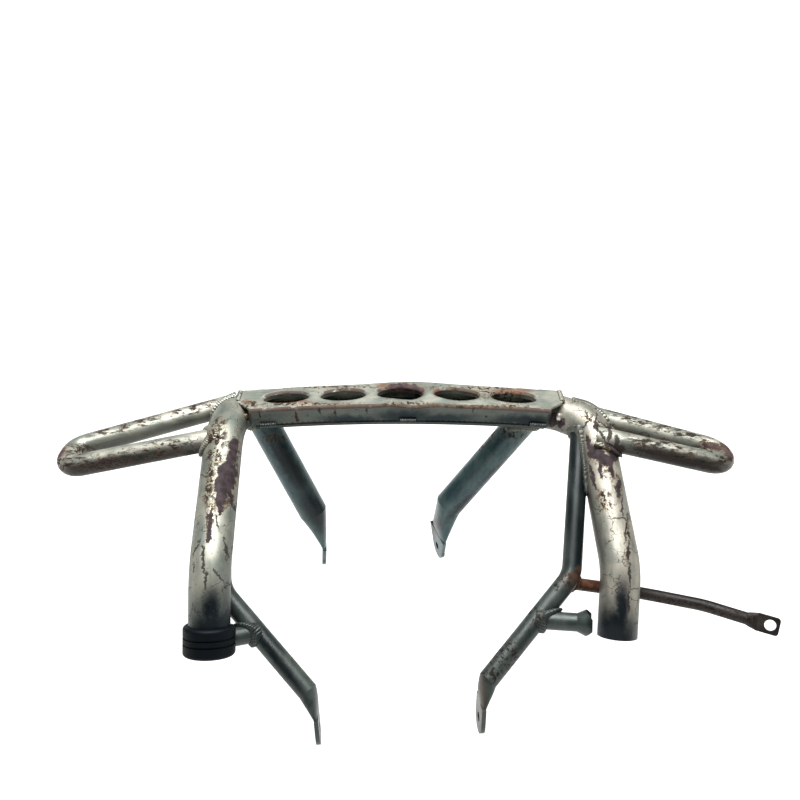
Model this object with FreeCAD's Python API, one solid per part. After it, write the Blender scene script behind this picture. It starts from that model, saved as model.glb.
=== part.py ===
import FreeCAD, Part
import math
import os

V = FreeCAD.Vector

# Welded tube bumper of a quad bike, lying on its four mounting tabs as photographed.
# Millimetres. X runs across the machine, Y away from the viewer, Z up from the floor.

# Tube stock: outside diameter and wall.
main_d, main_wall = 38.1, 2.3
upper_d, upper_wall = 31.8, 2.0
loop_d, loop_wall = 22.2, 2.0
lower_d, lower_wall = 19.1, 2.0
link_d, link_wall = 17.3, 2.0
rod_d = 12.0

# Half the distance between the two main tubes: everything across the machine follows it.
span = 176.0

# Main tube route on the sound left side, mirrored to the right: half span, depth, height.
tube_corner = V(span, 135.0, 205.5)
tube_shoulder = V(span, 63.0, 215.0)
tube_knee = V(span - 2.5, -67.0, 151.0)
tube_foot = V(span - 2.0, -103.5, 88.0)
corner_bend_r = 40.0
shoulder_bend_r = 60.0
knee_bend_r = 70.0
# The right tube was knocked outward and back: how far each of its points moved.
hit_corner = V(-14.0, -6.0, -1.0)
hit_shoulder = V(23.0, 27.0, -6.0)
hit_knee = V(39.0, 36.0, -29.0)
hit_foot = V(35.0, 40.0, -22.0)
hit_shoulder_bend_r = 42.0

# Perforated channel between the tubes: pressed sheet, bowed, its ends lapped on the tubes.
sheet_t = 2.3
channel_depth = 48.0
channel_flange = 19.5
channel_bow = 7.5
channel_lean_deg = 1.5
channel_edge_r = 4.0
front_half = span - 22.0
rear_half = span - 30.0
tongue_half = span - 8.0
tongue_depth = 29.0
channel_rear_y = 134.0
lap_gap = 0.2
hole_count = 5
hole_pitch = 59.0
hole_long, hole_short = 47.0, 22.0
hole_rim = 2.2
hole_collar = 4.0
closer_half = span - 28.5
closer_inset = 1.0

# Side loops: where each leg leaves the tube, and the outer corners of the loop.
loop_near_root = V(span, 53.0, 218.0)
loop_far_root = V(span - 4.0, 126.0, 215.0)
loop_near_tip = V(span + 156.0, 35.0, 193.5)
loop_far_tip = V(span + 156.0, 75.0, 192.0)
loop_bend_r = 17.0
# The right loop went with its tube and was squeezed.
hit_near_root = V(21.0, 14.0, -8.0)
hit_far_root = V(6.0, -12.0, -2.0)
hit_near_tip = V(-5.0, 8.0, -3.0)
hit_far_tip = V(-5.0, 6.0, -6.0)

# Four legs with flattened bolt tabs. The feet are twisted a little under the frame.
leg_twist_deg = 4.8
twist_y = -126.0
tab_w = 30.0
tab_hole_d = 9.0
press_lip = 0.6
press_sink = 3.0
upper_root = V(span - 24.0, 133.0, 198.0)
upper_press = V(77.5, 128.0, 76.0)
upper_flat = V(66.2, 130.0, 35.0)
upper_hole = V(67.5, 131.0, tab_w / 2)
hit_upper_root = V(-13.0, 0.0, 0.0)
hit_tab_deg = 13.0
upper_press_w = 44.0
lower_root = V(span + 6.0, 86.0, 207.0)
lower_bend = V(span - 6.5, -41.0, 113.0)
lower_press = V(83.5, -111.0, 50.0)
lower_flat = V(77.0, -119.0, 32.0)
lower_hole = V(76.3, -122.5, tab_w / 2)
lower_bend_r = 34.0
hit_lower_root = V(3.0, 0.0, 0.0)
hit_lower_bend = V(-3.5, 0.0, 0.0)
lower_weld_share = 0.45
lower_skew_y = 10.0

# Links from the lower legs to the feet of the main tubes: the right one is torn off.
link_station = 0.43
link_height = 95.0
torn_end = V(span + 1.0, -70.0, 89.0)
torn_flare_r = 15.0
torn_flare_len = 11.0

# Stay rod on the right, flattened at its eye.
rod_bend = V(span + 60.0, -16.0, 79.0)
rod_turn = V(span + 124.0, -32.0, 76.0)
rod_neck = V(span + 161.0, -47.5, 73.5)
rod_eye = V(span + 181.0, -57.0, 73.6)
rod_bend_r = 110.0
rod_drop = 11.0
eye_w, eye_t = 17.0, 5.0
eye_hole_d = 11.0

# Rubber end cap on the left foot.
cap_d = 47.6
cap_len = 27.0
cap_floor = 4.0
cap_clear = 0.1
link_clear = 0.4
cap_round = 3.0
cap_groove, cap_groove_w = 0.9, 1.6
cap_groove_at = (9.0, 15.0)

# Weld bead leg length, and the stitches under the channel.
bead = 3.2
stitch_len = 16.0
stitch_r = 2.0
stitch_clear = 0.05
stitch_x = (40.0 - span, 8.0, span - 34.0)


def mirrored(p, side):
    return V(side * p.x, p.y, p.z)


def twisted(p, side):
    turn = math.radians(leg_twist_deg)
    x = side * p.x
    y = p.y - twist_y
    return V(x * math.cos(turn) - y * math.sin(turn),
             x * math.sin(turn) + y * math.cos(turn) + twist_y, p.z)


def unit(v):
    return V(v).normalize()


def route(points, radii):
    """Straight runs joined by arcs: one bend radius for each inner point."""
    edges = []
    start = points[0]
    for before, at, after, radius in zip(points, points[1:], points[2:], radii):
        back = unit(before - at)
        ahead = unit(after - at)
        half = back.getAngle(ahead) / 2
        reach = radius / math.tan(half)
        bisect = unit(back + ahead)
        middle = at + bisect * (radius / math.sin(half) - radius)
        edges.append(Part.LineSegment(start, at + back * reach).toShape())
        edges.append(Part.Arc(at + back * reach, middle, at + ahead * reach).toShape())
        start = at + ahead * reach
    edges.append(Part.LineSegment(start, points[-1]).toShape())
    return Part.Wire(edges)


def rod_along(points, radii, diameter):
    ring = Part.Circle(points[0], unit(points[1] - points[0]), diameter / 2).toShape()
    pipe = route(points, radii).makePipe(Part.Face(Part.Wire(ring)))
    return pipe.Solids[0] if pipe.Solids else Part.Solid(pipe)


def tube_along(points, radii, diameter, wall):
    """The tube itself and the full rod of its outside, for cutting saddles."""
    outside = rod_along(points, radii, diameter)
    return outside.cut(rod_along(points, radii, diameter - 2 * wall)), outside


def ring_section(center, wide, thick, half_w, half_t, power):
    """Closed curve from a circle (power 2) to a flattened tube (higher power)."""
    if power == 2:
        circle = Part.Circle(center, wide.cross(thick), half_w)
        circle.XAxis = wide
        return Part.Wire(circle.toShape())
    points = []
    for i in range(20):
        a = 2 * math.pi * i / 20
        c, s = math.cos(a), math.sin(a)
        u = math.copysign(abs(c) ** (2 / power), c) * half_w
        w = math.copysign(abs(s) ** (2 / power), s) * half_t
        points.append(center + wide * u + thick * w)
    curve = Part.BSplineCurve()
    curve.interpolate(points, PeriodicFlag=True)
    return Part.Wire(curve.toShape())


def bolt_tab(start, flat, hole, lead, wide, diameter, thick_t, press_w):
    """A pinched tube end: round at start, pressed flat, rounded at its bolt hole."""
    along = unit(hole - flat)
    rings = []
    for f, power in ((0.0, 2.0), (0.5, 2.2), (1.0, 3.0)):
        ahead = unit(lead * (1 - f) + along * f)
        across = unit(wide - ahead * wide.dot(ahead))
        half_w = (diameter * (1 - f) + (press_w - press_lip) * f) / 2
        half_t = (diameter * (1 - f) + (thick_t - press_lip) * f) / 2
        center = start + (flat + along * press_sink - start) * f
        rings.append(ring_section(center, across, ahead.cross(across), half_w, half_t, power))
    neck = Part.makeLoft(rings, True, False)
    wide = unit(wide - along * wide.dot(along))
    thick = along.cross(wide)
    top = flat - thick * (thick_t / 2)
    low = hole - thick * (thick_t / 2)
    a = top - wide * (press_w / 2)
    b = low - wide * (tab_w / 2)
    tip = low + along * (tab_w / 2)
    c = low + wide * (tab_w / 2)
    d = top + wide * (press_w / 2)
    outline = Part.Wire([Part.LineSegment(a, b).toShape(), Part.Arc(b, tip, c).toShape(),
                         Part.LineSegment(c, d).toShape(), Part.LineSegment(d, a).toShape()])
    plate = Part.Face(outline).extrude(thick * thick_t)
    bore = Part.makeCylinder(tab_hole_d / 2, 4 * thick_t, hole - thick * (2 * thick_t), thick)
    return neck.fuse(plate).cut(bore)


def one_solid(shape):
    shape = shape.removeSplitter()
    return max(shape.Solids, key=lambda s: s.Volume)


def bead_ring(host_fat, host, branch_fat, branch):
    """Weld metal lying in the corner between a host tube and a branch."""
    return host_fat.cut(host).common(branch_fat.cut(branch))


class Main:
    """One main tube: its hollow body, its outside and a swollen copy for welds."""

    def __init__(self, side):
        shift = [V(0, 0, 0)] * 4
        shoulder_r = shoulder_bend_r
        if side > 0:
            shift = [hit_corner, hit_shoulder, hit_knee, hit_foot]
            shoulder_r = hit_shoulder_bend_r
        corner = tube_corner + shift[0]
        inner = V(corner.x - corner_bend_r - 8.0, corner.y, corner.z)
        points = [inner, corner, tube_shoulder + shift[1], tube_knee + shift[2],
                  tube_foot + shift[3]]
        self.points = [mirrored(p, side) for p in points]
        self.radii = [corner_bend_r, shoulder_r, knee_bend_r]
        hollow, self.outside = tube_along(self.points, self.radii, main_d, main_wall)
        self.fat = rod_along(self.points, self.radii, main_d + 2 * bead)
        inboard = Part.makeBox(2 * closer_half, 400, 400, V(-closer_half, -50, 0))
        self.body = one_solid(hollow.cut(inboard))
        self.outside = one_solid(self.outside.cut(inboard))
        self.end_dir = unit(self.points[4] - self.points[3])


def side_loop(side):
    points = [loop_near_root, loop_near_tip, loop_far_tip, loop_far_root]
    if side > 0:
        moves = [hit_near_root, hit_near_tip, hit_far_tip, hit_far_root]
        points = [p + m for p, m in zip(points, moves)]
    points = [mirrored(p, side) for p in points]
    radii = [loop_bend_r, loop_bend_r]
    hollow, outside = tube_along(points, radii, loop_d, loop_wall)
    fat = rod_along(points, radii, loop_d + 2 * bead)
    return hollow, outside, fat


def tab_across(extra_deg=0.0):
    """Direction of a tab's width: along the machine's height, turned with the feet."""
    turn = math.radians(leg_twist_deg + extra_deg)
    return V(-math.sin(turn), math.cos(turn), 0)


def upper_leg(side):
    """Wide leg under the channel's end, down to its tab."""
    root = mirrored(upper_root, side)
    turn = 0.0
    if side > 0:
        root = root + hit_upper_root
        turn = hit_tab_deg
    press, flat, hole = [twisted(p, side) for p in (upper_press, upper_flat, upper_hole)]
    hollow, outside = tube_along([root, press], [], upper_d, upper_wall)
    tab = bolt_tab(press, flat, hole, unit(press - root), tab_across(turn), upper_d,
                   2 * upper_wall, upper_press_w)
    fat = rod_along([root, press], [], upper_d + 2 * bead)
    return hollow.fuse(tab), outside.fuse(tab), fat


def lower_points(side):
    bend = mirrored(lower_bend, side) + V(0, side * lower_skew_y, 0)
    root = mirrored(lower_root, side)
    if side > 0:
        root = root + hit_lower_root
        bend = bend + hit_lower_bend
    return root, bend, twisted(lower_press, side)


def lower_leg(side):
    """Slim leg below the main tube: bent inward, then down to its tab."""
    root, bend, press = lower_points(side)
    flat, hole = twisted(lower_flat, side), twisted(lower_hole, side)
    hollow, outside = tube_along([root, bend, press], [lower_bend_r], lower_d, lower_wall)
    tab = bolt_tab(press, flat, hole, unit(press - bend), tab_across(), lower_d,
                   2 * lower_wall, tab_w)
    fat = rod_along([root, bend, press], [lower_bend_r], lower_d + 2 * bead)
    stub = rod_along([root, root + (bend - root) * lower_weld_share], [], lower_d + 2 * bead)
    return hollow.fuse(tab), outside.fuse(tab), fat, stub


def link_root(side):
    root, bend, press = lower_points(side)
    return bend + (press - bend) * link_station


def left_link_ends(main):
    knee, foot = main.points[3], main.points[4]
    t = (link_height - knee.z) / (foot.z - knee.z)
    return link_root(-1), knee + (foot - knee) * t


def left_link(main):
    root, end = left_link_ends(main)
    hollow, outside = tube_along([root, end], [], link_d, link_wall)
    return hollow, outside, rod_along([root, end], [], link_d + 2 * bead)


def torn_link(main):
    """Right link: its mouth is still flared to the saddle that tore off the tube."""
    root = link_root(1)
    along = unit(torn_end - root)
    hollow, outside = tube_along([root, torn_end], [], link_d, link_wall)
    mouth = torn_end - along * torn_flare_len
    skirt = Part.makeCone(link_d / 2 - 0.5, torn_flare_r, torn_flare_len + 4.0, mouth, along)
    bore = Part.makeCone(link_d / 2 - link_wall, torn_flare_r - link_wall,
                         torn_flare_len + 4.0, mouth, along)
    seat_at = torn_end + along * (main_d / 2 - 2.0)
    seat = Part.makeCylinder(main_d / 2, 120, seat_at - main.end_dir * 60, main.end_dir)
    body = hollow.fuse(skirt.cut(bore)).cut(bore).cut(seat)
    return body, outside, rod_along([root, torn_end], [], link_d + 2 * bead)


def stay_rod():
    """Round stay from the right lower leg, pressed flat round its eye."""
    root, bend, press = lower_points(1)
    start = bend + V(0, 2.0, -rod_drop)
    points = [start, rod_bend, rod_turn, rod_neck]
    body = rod_along(points, [rod_bend_r, rod_bend_r], rod_d)
    along = unit(rod_eye - rod_neck)
    face = V(0, -math.cos(math.radians(30)), math.sin(math.radians(30)))
    wide = unit(along.cross(face))
    thick = unit(wide.cross(along))
    rings = [ring_section(rod_neck, wide, thick, rod_d / 2, rod_d / 2, 2.0),
             ring_section(rod_neck + along * 5.0, wide, thick, rod_d * 0.62, eye_t * 0.75, 2.4),
             ring_section(rod_neck + along * 10.0, wide, thick, eye_w / 2, eye_t / 2, 4.0)]
    neck = Part.makeLoft(rings, True, False)
    base = rod_neck + along * 10.0 - thick * (eye_t / 2)
    far = rod_eye + along * (eye_w * 0.5) - thick * (eye_t / 2)
    corners = [base - wide * (eye_w / 2), far - wide * (eye_w / 2), far + wide * (eye_w / 2),
               base + wide * (eye_w / 2)]
    flat = Part.Face(Part.makePolygon(corners + corners[:1])).extrude(thick * eye_t)
    upright = [e for e in flat.Edges
               if (e.CenterOfMass - far - thick * (eye_t / 2)).dot(along) > -1
               and abs(unit(e.tangentAt(e.FirstParameter)).dot(thick)) > 0.9]
    flat = flat.makeFillet(3.0, upright)
    bore = Part.makeCylinder(eye_hole_d / 2, 4 * eye_t, rod_eye - thick * (2 * eye_t), thick)
    fat = rod_along(points, [rod_bend_r, rod_bend_r], rod_d + 2 * bead)
    return body.fuse(neck).fuse(flat).cut(bore), body, fat


class Channel:
    """Local frame of the bowed channel: its arc, its lean and its place on the tubes."""

    def __init__(self):
        self.radius = (tongue_half ** 2 + channel_bow ** 2) / (2 * channel_bow)
        self.lean = channel_lean_deg
        self.half_deg = math.degrees(math.asin(tongue_half / self.radius))
        normal = V(0, math.sin(math.radians(self.lean)), math.cos(math.radians(self.lean)))
        crown = V(0, tube_corner.y, tube_corner.z) + normal * (main_d / 2 + lap_gap)
        slide = (channel_rear_y - crown.y) / math.cos(math.radians(self.lean))
        along = V(0, math.cos(math.radians(self.lean)), -math.sin(math.radians(self.lean)))
        self.seat = crown + along * slide

    def place(self, shape):
        """From local (arc top at z = bow, ends at z = 0 under the sheet) to the part."""
        shape.rotate(V(0, 0, 0), V(1, 0, 0), -self.lean)
        shape.translate(self.seat)
        return shape

    def swept(self, face):
        """A face drawn in the local YZ plane, carried along the whole arc."""
        axis_at = V(0, 0, channel_bow - self.radius)
        face.translate(V(0, 0, channel_bow))
        face.rotate(axis_at, V(0, 1, 0), -self.half_deg)
        return face.revolve(axis_at, V(0, 1, 0), 2 * self.half_deg)

    def at(self, shape, x):
        """Stand a shape made at the origin on the arc at a distance x from the middle."""
        turn = math.degrees(math.asin(x / self.radius))
        shape.translate(V(0, 0, channel_bow))
        shape.rotate(V(0, 0, channel_bow - self.radius), V(0, 1, 0), turn)
        return shape


def channel_section():
    d, h, t, r = channel_depth, channel_flange, sheet_t, channel_edge_r
    k = 1 - math.sqrt(0.5)
    i = r - t

    def p(y, z):
        return V(0, y, z + t)

    edges = [Part.LineSegment(p(0, -h), p(0, -r)).toShape(),
             Part.Arc(p(0, -r), p(-r * k, -r * k), p(-r, 0)).toShape(),
             Part.LineSegment(p(-r, 0), p(r - d, 0)).toShape(),
             Part.Arc(p(r - d, 0), p(r * k - d, -r * k), p(-d, -r)).toShape(),
             Part.LineSegment(p(-d, -r), p(-d, -h)).toShape(),
             Part.LineSegment(p(-d, -h), p(t - d, -h)).toShape(),
             Part.LineSegment(p(t - d, -h), p(t - d, -r)).toShape(),
             Part.Arc(p(t - d, -r), p(t - d + i * k, -t - i * k), p(r - d, -t)).toShape(),
             Part.LineSegment(p(r - d, -t), p(-r, -t)).toShape(),
             Part.Arc(p(-r, -t), p(-t - i * k, -t - i * k), p(-t, -r)).toShape(),
             Part.LineSegment(p(-t, -r), p(-t, -h)).toShape(),
             Part.LineSegment(p(-t, -h), p(0, -h)).toShape()]
    return Part.Face(Part.Wire(edges))


def oval_frustum(long_top, short_top, z_top, long_low, short_low, z_low, y):
    rings = []
    for long_d, short_d, z in ((long_top, short_top, z_top), (long_low, short_low, z_low)):
        oval = Part.Ellipse(V(0, y, z), long_d / 2, short_d / 2)
        rings.append(Part.Wire(oval.toShape()))
    return Part.makeLoft(rings, True, True)


def perforated_channel(frame):
    """Inverted channel: dimpled oval holes, set-back flanges and tongues over the tubes."""
    body = frame.swept(channel_section())
    deep = channel_flange + 40
    for side in (-1, 1):
        for half, y0 in ((front_half, -channel_depth - 5), (rear_half, -channel_edge_r)):
            x0 = side * half if side > 0 else -tongue_half - 10
            wide = tongue_half + 10 - half
            long_y = channel_depth + 5 - tongue_depth if y0 < -10 else 30
            body = body.cut(Part.makeBox(wide, long_y, deep, V(x0, y0, -deep - 0.01)))
        corner = [V(side * (tongue_half + 9), -tongue_depth, -60),
                  V(side * tongue_half, -tongue_depth, -60),
                  V(side * front_half, -channel_depth + channel_edge_r, -60),
                  V(side * front_half, -channel_depth - 9, -60),
                  V(side * (tongue_half + 9), -channel_depth - 9, -60)]
        body = body.cut(Part.Face(Part.makePolygon(corner + corner[:1])).extrude(V(0, 0, 120)))
    mid_y = -channel_depth / 2
    for i in range(hole_count):
        x = (i - (hole_count - 1) / 2) * hole_pitch
        flare = oval_frustum(hole_long + 2 * hole_rim, hole_short + 2 * hole_rim, sheet_t + 0.6,
                             hole_long, hole_short, sheet_t - hole_rim, mid_y)
        bore = oval_frustum(hole_long, hole_short, 10, hole_long, hole_short, -20, mid_y)
        wall = 2 * sheet_t
        collar = oval_frustum(hole_long + wall + 2, hole_short + wall + 2, 0.5,
                              hole_long + wall, hole_short + wall, -hole_collar, mid_y)
        body = body.fuse(frame.at(collar, x)).cut(frame.at(flare, x)).cut(frame.at(bore, x))
    return one_solid(frame.place(body))


def closing_strip(frame):
    """Flat strip that closes the channel from below, a little proud of its flanges."""
    y0 = -channel_depth - closer_inset
    z0 = sheet_t - channel_flange - sheet_t
    corners = [V(0, y0, z0), V(0, 0, z0), V(0, 0, z0 + sheet_t), V(0, y0, z0 + sheet_t)]
    strip = frame.swept(Part.Face(Part.makePolygon(corners + corners[:1])))
    keep = Part.makeBox(2 * closer_half, 200, 200, V(-closer_half, -150, -100))
    return frame.place(strip.common(keep))


def end_cap(main):
    """Rubber cup pushed over the left foot, slit where the link comes in behind it."""
    along = main.end_dir
    top = main.points[4] - along * (cap_len - cap_floor)
    cup = Part.makeCylinder(cap_d / 2, cap_len, top, along)
    rims = [e for e in cup.Edges if e.Closed]
    cup = cup.makeFillet(cap_round, rims)
    for station in cap_groove_at:
        at = top + along * station
        ring = Part.makeCylinder(cap_d / 2 + 1, cap_groove_w, at, along)
        cup = cup.cut(ring.cut(Part.makeCylinder(cap_d / 2 - cap_groove, cap_groove_w, at, along)))
    cup = cup.cut(Part.makeCylinder(main_d / 2 + cap_clear, cap_len - cap_floor, top, along))
    root, end = left_link_ends(main)
    aim = unit(end - root)
    half = aim.cross(along).normalize() * (link_d / 2 + link_clear)
    way = (end - root) - aim * (main_d / 4)
    slit = Part.makeCylinder(link_d / 2 + link_clear, way.Length, root, aim)
    corners = [root - half, root + half, root + half - along * cap_len, root - half - along * cap_len]
    slit = slit.fuse(Part.Face(Part.makePolygon(corners + corners[:1])).extrude(way))
    return one_solid(cup.cut(slit))


def stitch_welds(frame):
    beads = []
    for x in stitch_x:
        out_y = -channel_depth - stitch_r - stitch_clear
        up_z = sheet_t - channel_flange + stitch_r + stitch_clear
        rod = Part.makeCylinder(stitch_r, stitch_len, V(-stitch_len / 2, out_y, up_z), V(1, 0, 0))
        beads.append(frame.place(frame.at(rod, x)))
    return beads


def seam_welds(frame, side):
    """Bead along the tongue's end, on the crown of the tube."""
    rod = Part.makeCylinder(bead * 0.8, tongue_depth - 8, V(side * (tongue_half + 0.5), -4, 1.2),
                            V(0, -1, 0))
    return frame.place(rod)


def without(shape, others):
    for other in others:
        if shape.BoundBox.intersect(other.BoundBox):
            shape = shape.cut(other)
    return shape


def grouped(shapes):
    solids = [s for shape in shapes for s in shape.Solids if s.Volume > 2.0]
    return Part.makeCompound(solids)


def build():
    frame = Channel()
    mains = {side: Main(side) for side in (-1, 1)}
    channel = perforated_channel(frame)
    for main in mains.values():
        channel = one_solid(channel.cut(main.outside))
    strip = closing_strip(frame)
    nodes = {"perforated_channel": channel, "closing_strip": strip}
    outs = [channel, strip]
    welds = {}
    for side, name in ((-1, "left"), (1, "right")):
        main = mains[side]
        envelope = rod_along(main.points, main.radii, main_d)
        loop, loop_out, loop_fat = side_loop(side)
        upper, upper_out, upper_fat = upper_leg(side)
        lower, lower_out, lower_fat, lower_stub = lower_leg(side)
        link, link_out, link_fat = left_link(main) if side < 0 else torn_link(main)
        loop = one_solid(loop.cut(envelope))
        upper = one_solid(upper.cut(envelope).cut(strip))
        lower = one_solid(lower.cut(envelope).cut(upper_out))
        link = one_solid(without(link, [lower_out, main.outside]))
        outs += [main.outside, loop_out, upper_out, lower_out, link_out]
        nodes["main_tube_" + name] = main.body
        nodes["side_loop_" + name] = loop
        nodes["upper_leg_" + name] = upper
        nodes["lower_leg_" + name] = lower
        nodes["link_" + name] = link
        welds["weld_loop_" + name] = [bead_ring(main.fat, main.outside, loop_fat, loop_out)]
        welds["weld_legs_" + name] = [bead_ring(main.fat, main.outside, upper_fat, upper_out),
                                      bead_ring(main.fat, main.outside, lower_stub, lower_out)]
        welds["weld_link_" + name] = [bead_ring(lower_fat, lower_out, link_fat, link_out)]
        welds["weld_seam_" + name] = [seam_welds(frame, side)]
        if side < 0:
            welds["weld_link_left"].append(bead_ring(main.fat, main.outside, link_fat, link_out))
            nodes["end_cap"] = end_cap(main)
            outs.append(nodes["end_cap"])
        else:
            rod, rod_out, rod_fat = stay_rod()
            nodes["stay_rod"] = one_solid(rod.cut(lower_out))
            outs.append(rod_out)
            welds["weld_rod"] = [bead_ring(lower_fat, lower_out, rod_fat, rod_out)]
    welds["weld_stitches"] = stitch_welds(frame)
    laid = []
    for name, beads in welds.items():
        nodes[name] = grouped([without(b, outs + laid) for b in beads])
        laid.append(nodes[name])
    return nodes


def save(nodes):
    """Stand the part on the floor, centred, and write one file for each piece."""
    whole = Part.makeCompound(list(nodes.values()))
    whole.tessellate(0.5)
    box = whole.optimalBoundingBox(True)
    shift = V(-box.Center.x, -box.Center.y, -box.ZMin)
    print("shift", [round(c, 3) for c in shift], "size", box.XLength, box.YLength, box.ZLength)
    os.makedirs("parts", exist_ok=True)
    for name, shape in nodes.items():
        shape = shape.copy()
        shape.translate(shift)
        print(name, len(shape.Solids), round(shape.Volume), shape.isValid())
        shape.exportStep("parts/" + name + ".step")


save(build())
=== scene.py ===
import bmesh
import bpy
import math
import numpy as np
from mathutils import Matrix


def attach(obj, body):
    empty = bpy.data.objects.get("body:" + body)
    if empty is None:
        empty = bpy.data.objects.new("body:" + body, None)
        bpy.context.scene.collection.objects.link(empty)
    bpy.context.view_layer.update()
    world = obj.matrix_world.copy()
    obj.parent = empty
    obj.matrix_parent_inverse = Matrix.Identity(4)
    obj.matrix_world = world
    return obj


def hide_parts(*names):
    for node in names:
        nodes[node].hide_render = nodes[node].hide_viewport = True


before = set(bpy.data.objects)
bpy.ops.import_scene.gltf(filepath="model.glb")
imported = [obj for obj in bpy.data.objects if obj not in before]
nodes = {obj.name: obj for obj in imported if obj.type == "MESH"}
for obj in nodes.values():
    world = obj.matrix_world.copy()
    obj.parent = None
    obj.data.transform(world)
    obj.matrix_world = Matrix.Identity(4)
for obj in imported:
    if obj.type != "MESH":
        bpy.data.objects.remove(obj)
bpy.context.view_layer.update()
print("frame loaded:", len(nodes), "nodes")


def addObject(name, data):
    made = bpy.data.objects.new(name, data)
    bpy.context.scene.collection.objects.link(made)
    return made


# the photograph's camera: 900 px focal length on an 800 px frame, looking 30 degrees down
shot = {"place": (-0.0119, -0.7063, 0.6957), "pitchDeg": 30.0, "lens": 40.5, "sensor": 36.0,
        "half": 400, "focal": 900, "depthRow": 500}

camera = addObject("camera", bpy.data.cameras.new("camera"))
camera.data.lens = shot["lens"]
camera.data.sensor_width = shot["sensor"]
camera.location = shot["place"]
camera.rotation_euler = (math.radians(90 - shot["pitchDeg"]), 0, 0)
bpy.context.scene.camera = camera
bpy.context.scene.view_settings.view_transform = "Standard"
bpy.context.scene.view_settings.look = "Medium High Contrast"


def hexColour(text):
    # sRGB hex to linear
    parts = np.array([int(text[i:i + 2], 16) / 255 for i in (1, 3, 5)])
    linear = np.where(parts <= 0.04045, parts / 12.92, ((parts + 0.055) / 1.055) ** 2.4)
    return (*[float(c) for c in linear], 1.0)


def addNode(tree, kind, settings=None, links=None, out=0):
    # one node: settings are its own properties, links go by socket name or number to a value or a socket
    made = tree.nodes.new(kind)
    for name, value in (settings or {}).items():
        setattr(made, name, value)
    for key, value in (links or {}).items():
        if isinstance(value, bpy.types.NodeSocket):
            tree.links.new(value, made.inputs[key])
        else:
            made.inputs[key].default_value = value
    return made.outputs[out] if len(made.outputs) else made


def newMaterial(name):
    made = bpy.data.materials.new(name)
    made.use_nodes = True
    tree = made.node_tree
    tree.nodes.clear()
    surface = addNode(tree, "ShaderNodeBsdfPrincipled")
    addNode(tree, "ShaderNodeOutputMaterial", None, {"Surface": surface})
    return made, tree, surface.node


def dress(material, *names):
    for name in names:
        piece = nodes[name]
        piece.data.materials.clear()
        piece.data.materials.append(material)


# the mark sheet, for wear marks and painted shade and light alike: a flat plane across the front of the bumper,
# tilted as the photograph sees it, in mm
tilt = math.radians(90 - shot["pitchDeg"])
sheetUp = (0.0, math.cos(tilt), math.sin(tilt))
sheetMid = (shot["place"][0] * 1000, 1000 * (shot["place"][1] * sheetUp[1] + shot["place"][2] * sheetUp[2]))

# settings that many nodes share
soft = {"interpolation_type": "SMOOTHSTEP"}
dot = {"operation": "DOT_PRODUCT"}
times = {"operation": "MULTIPLY"}
blend = {"data_type": "RGBA"}

# the size of each pattern in the paint, in mm
patternMm = {"shake": 6.0, "shakeGrain": 8.0, "cloud": 26.0, "run": 5.0, "rub": 9.0, "crumb": 4.2,
             "mottle": 6.0, "pit": 1.6, "crackCell": 16.0, "crackBreak": 17.0, "crackBend": 14.0,
             "crackBendGrain": 25 / 3, "shadeFade": 2.0, "bump": 0.6, "dent": 3.5}

# what a paint has where its own dictionary says nothing else
plainPaint = {"grain": (1, 0.25, 0.25), "crumb": (1, 0.7, 0.7), "paintedShade": [], "rubbed": [], "smearAndLightMost": 0.9,
              "fleckLevel": 0.475, "fleckEdge": "#8a7657", "fleckCore": "#2a1f19",
              "rustTones": ("#2a2223", "#43363a"), "halo": 0.45, "haloTone": "#86745d",
              "chipTone": "#2a1f1b", "pitLevel": 0.66, "pitTone": "#3a2d26", "crackTone": "#2a2622",
              "rough": (0.34, 0.46), "lump": 0.22, "lumpMm": 1.1}


def placeInMm(tree):
    place = addNode(tree, "ShaderNodeTexCoord", None, None, "Object")
    return addNode(tree, "ShaderNodeVectorMath", {"operation": "SCALE"}, {0: place, "Scale": 1000.0})


def onSheet(tree, mm):
    # the place carried on the sheet and shaken by noise, so that no mark has a drawn edge
    across = addNode(tree, "ShaderNodeVectorMath", dot, {0: mm, 1: (1, 0, 0)}, "Value")
    up = addNode(tree, "ShaderNodeVectorMath", dot, {0: mm, 1: sheetUp}, "Value")
    flat = addNode(tree, "ShaderNodeCombineXYZ", None, {0: across, 1: up})
    shake = addNode(tree, "ShaderNodeTexNoise", None,
                    {"Vector": mm, "Scale": 1 / patternMm["shakeGrain"], "Detail": 6.0, "Roughness": 0.78}, "Color")
    middle = addNode(tree, "ShaderNodeVectorMath", {"operation": "SUBTRACT"}, {0: shake, 1: (0.5, 0.5, 0.5)})
    swing = 2 * patternMm["shake"]
    return addNode(tree, "ShaderNodeVectorMath", {"operation": "MULTIPLY_ADD"},
                   {0: middle, 1: (swing, swing, 0), 2: flat})


def markField(tree, sheet, marks, depth):
    # how far from the nearest mark, 1 at its edge: each mark is an oval (px, py, half width, half height, turn)
    # in the photograph's pixels, on a surface at depth mm from the camera: depth at row 500, and its change a row
    field = 9.0
    for px, py, halfWide, halfHigh, turn in marks:
        mmPerPx = (depth[0] + depth[1] * (py - shot["depthRow"])) / shot["focal"]
        middle = (sheetMid[0] + (px - shot["half"]) * mmPerPx, sheetMid[1] + (shot["half"] - py) * mmPerPx, 0)
        local = addNode(tree, "ShaderNodeMapping", {"vector_type": "TEXTURE"},
                        {"Vector": sheet, "Location": middle, "Rotation": (0, 0, math.radians(turn)),
                         "Scale": (halfWide * mmPerPx, halfHigh * mmPerPx, 1)})
        far = addNode(tree, "ShaderNodeVectorMath", {"operation": "LENGTH"}, {0: local}, "Value")
        field = addNode(tree, "ShaderNodeMath", {"operation": "MINIMUM"}, {0: field, 1: far})
    return field


# Each layer below gives coats as (mask, colour, whether the paint is gone there), from the paint outwards.


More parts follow.
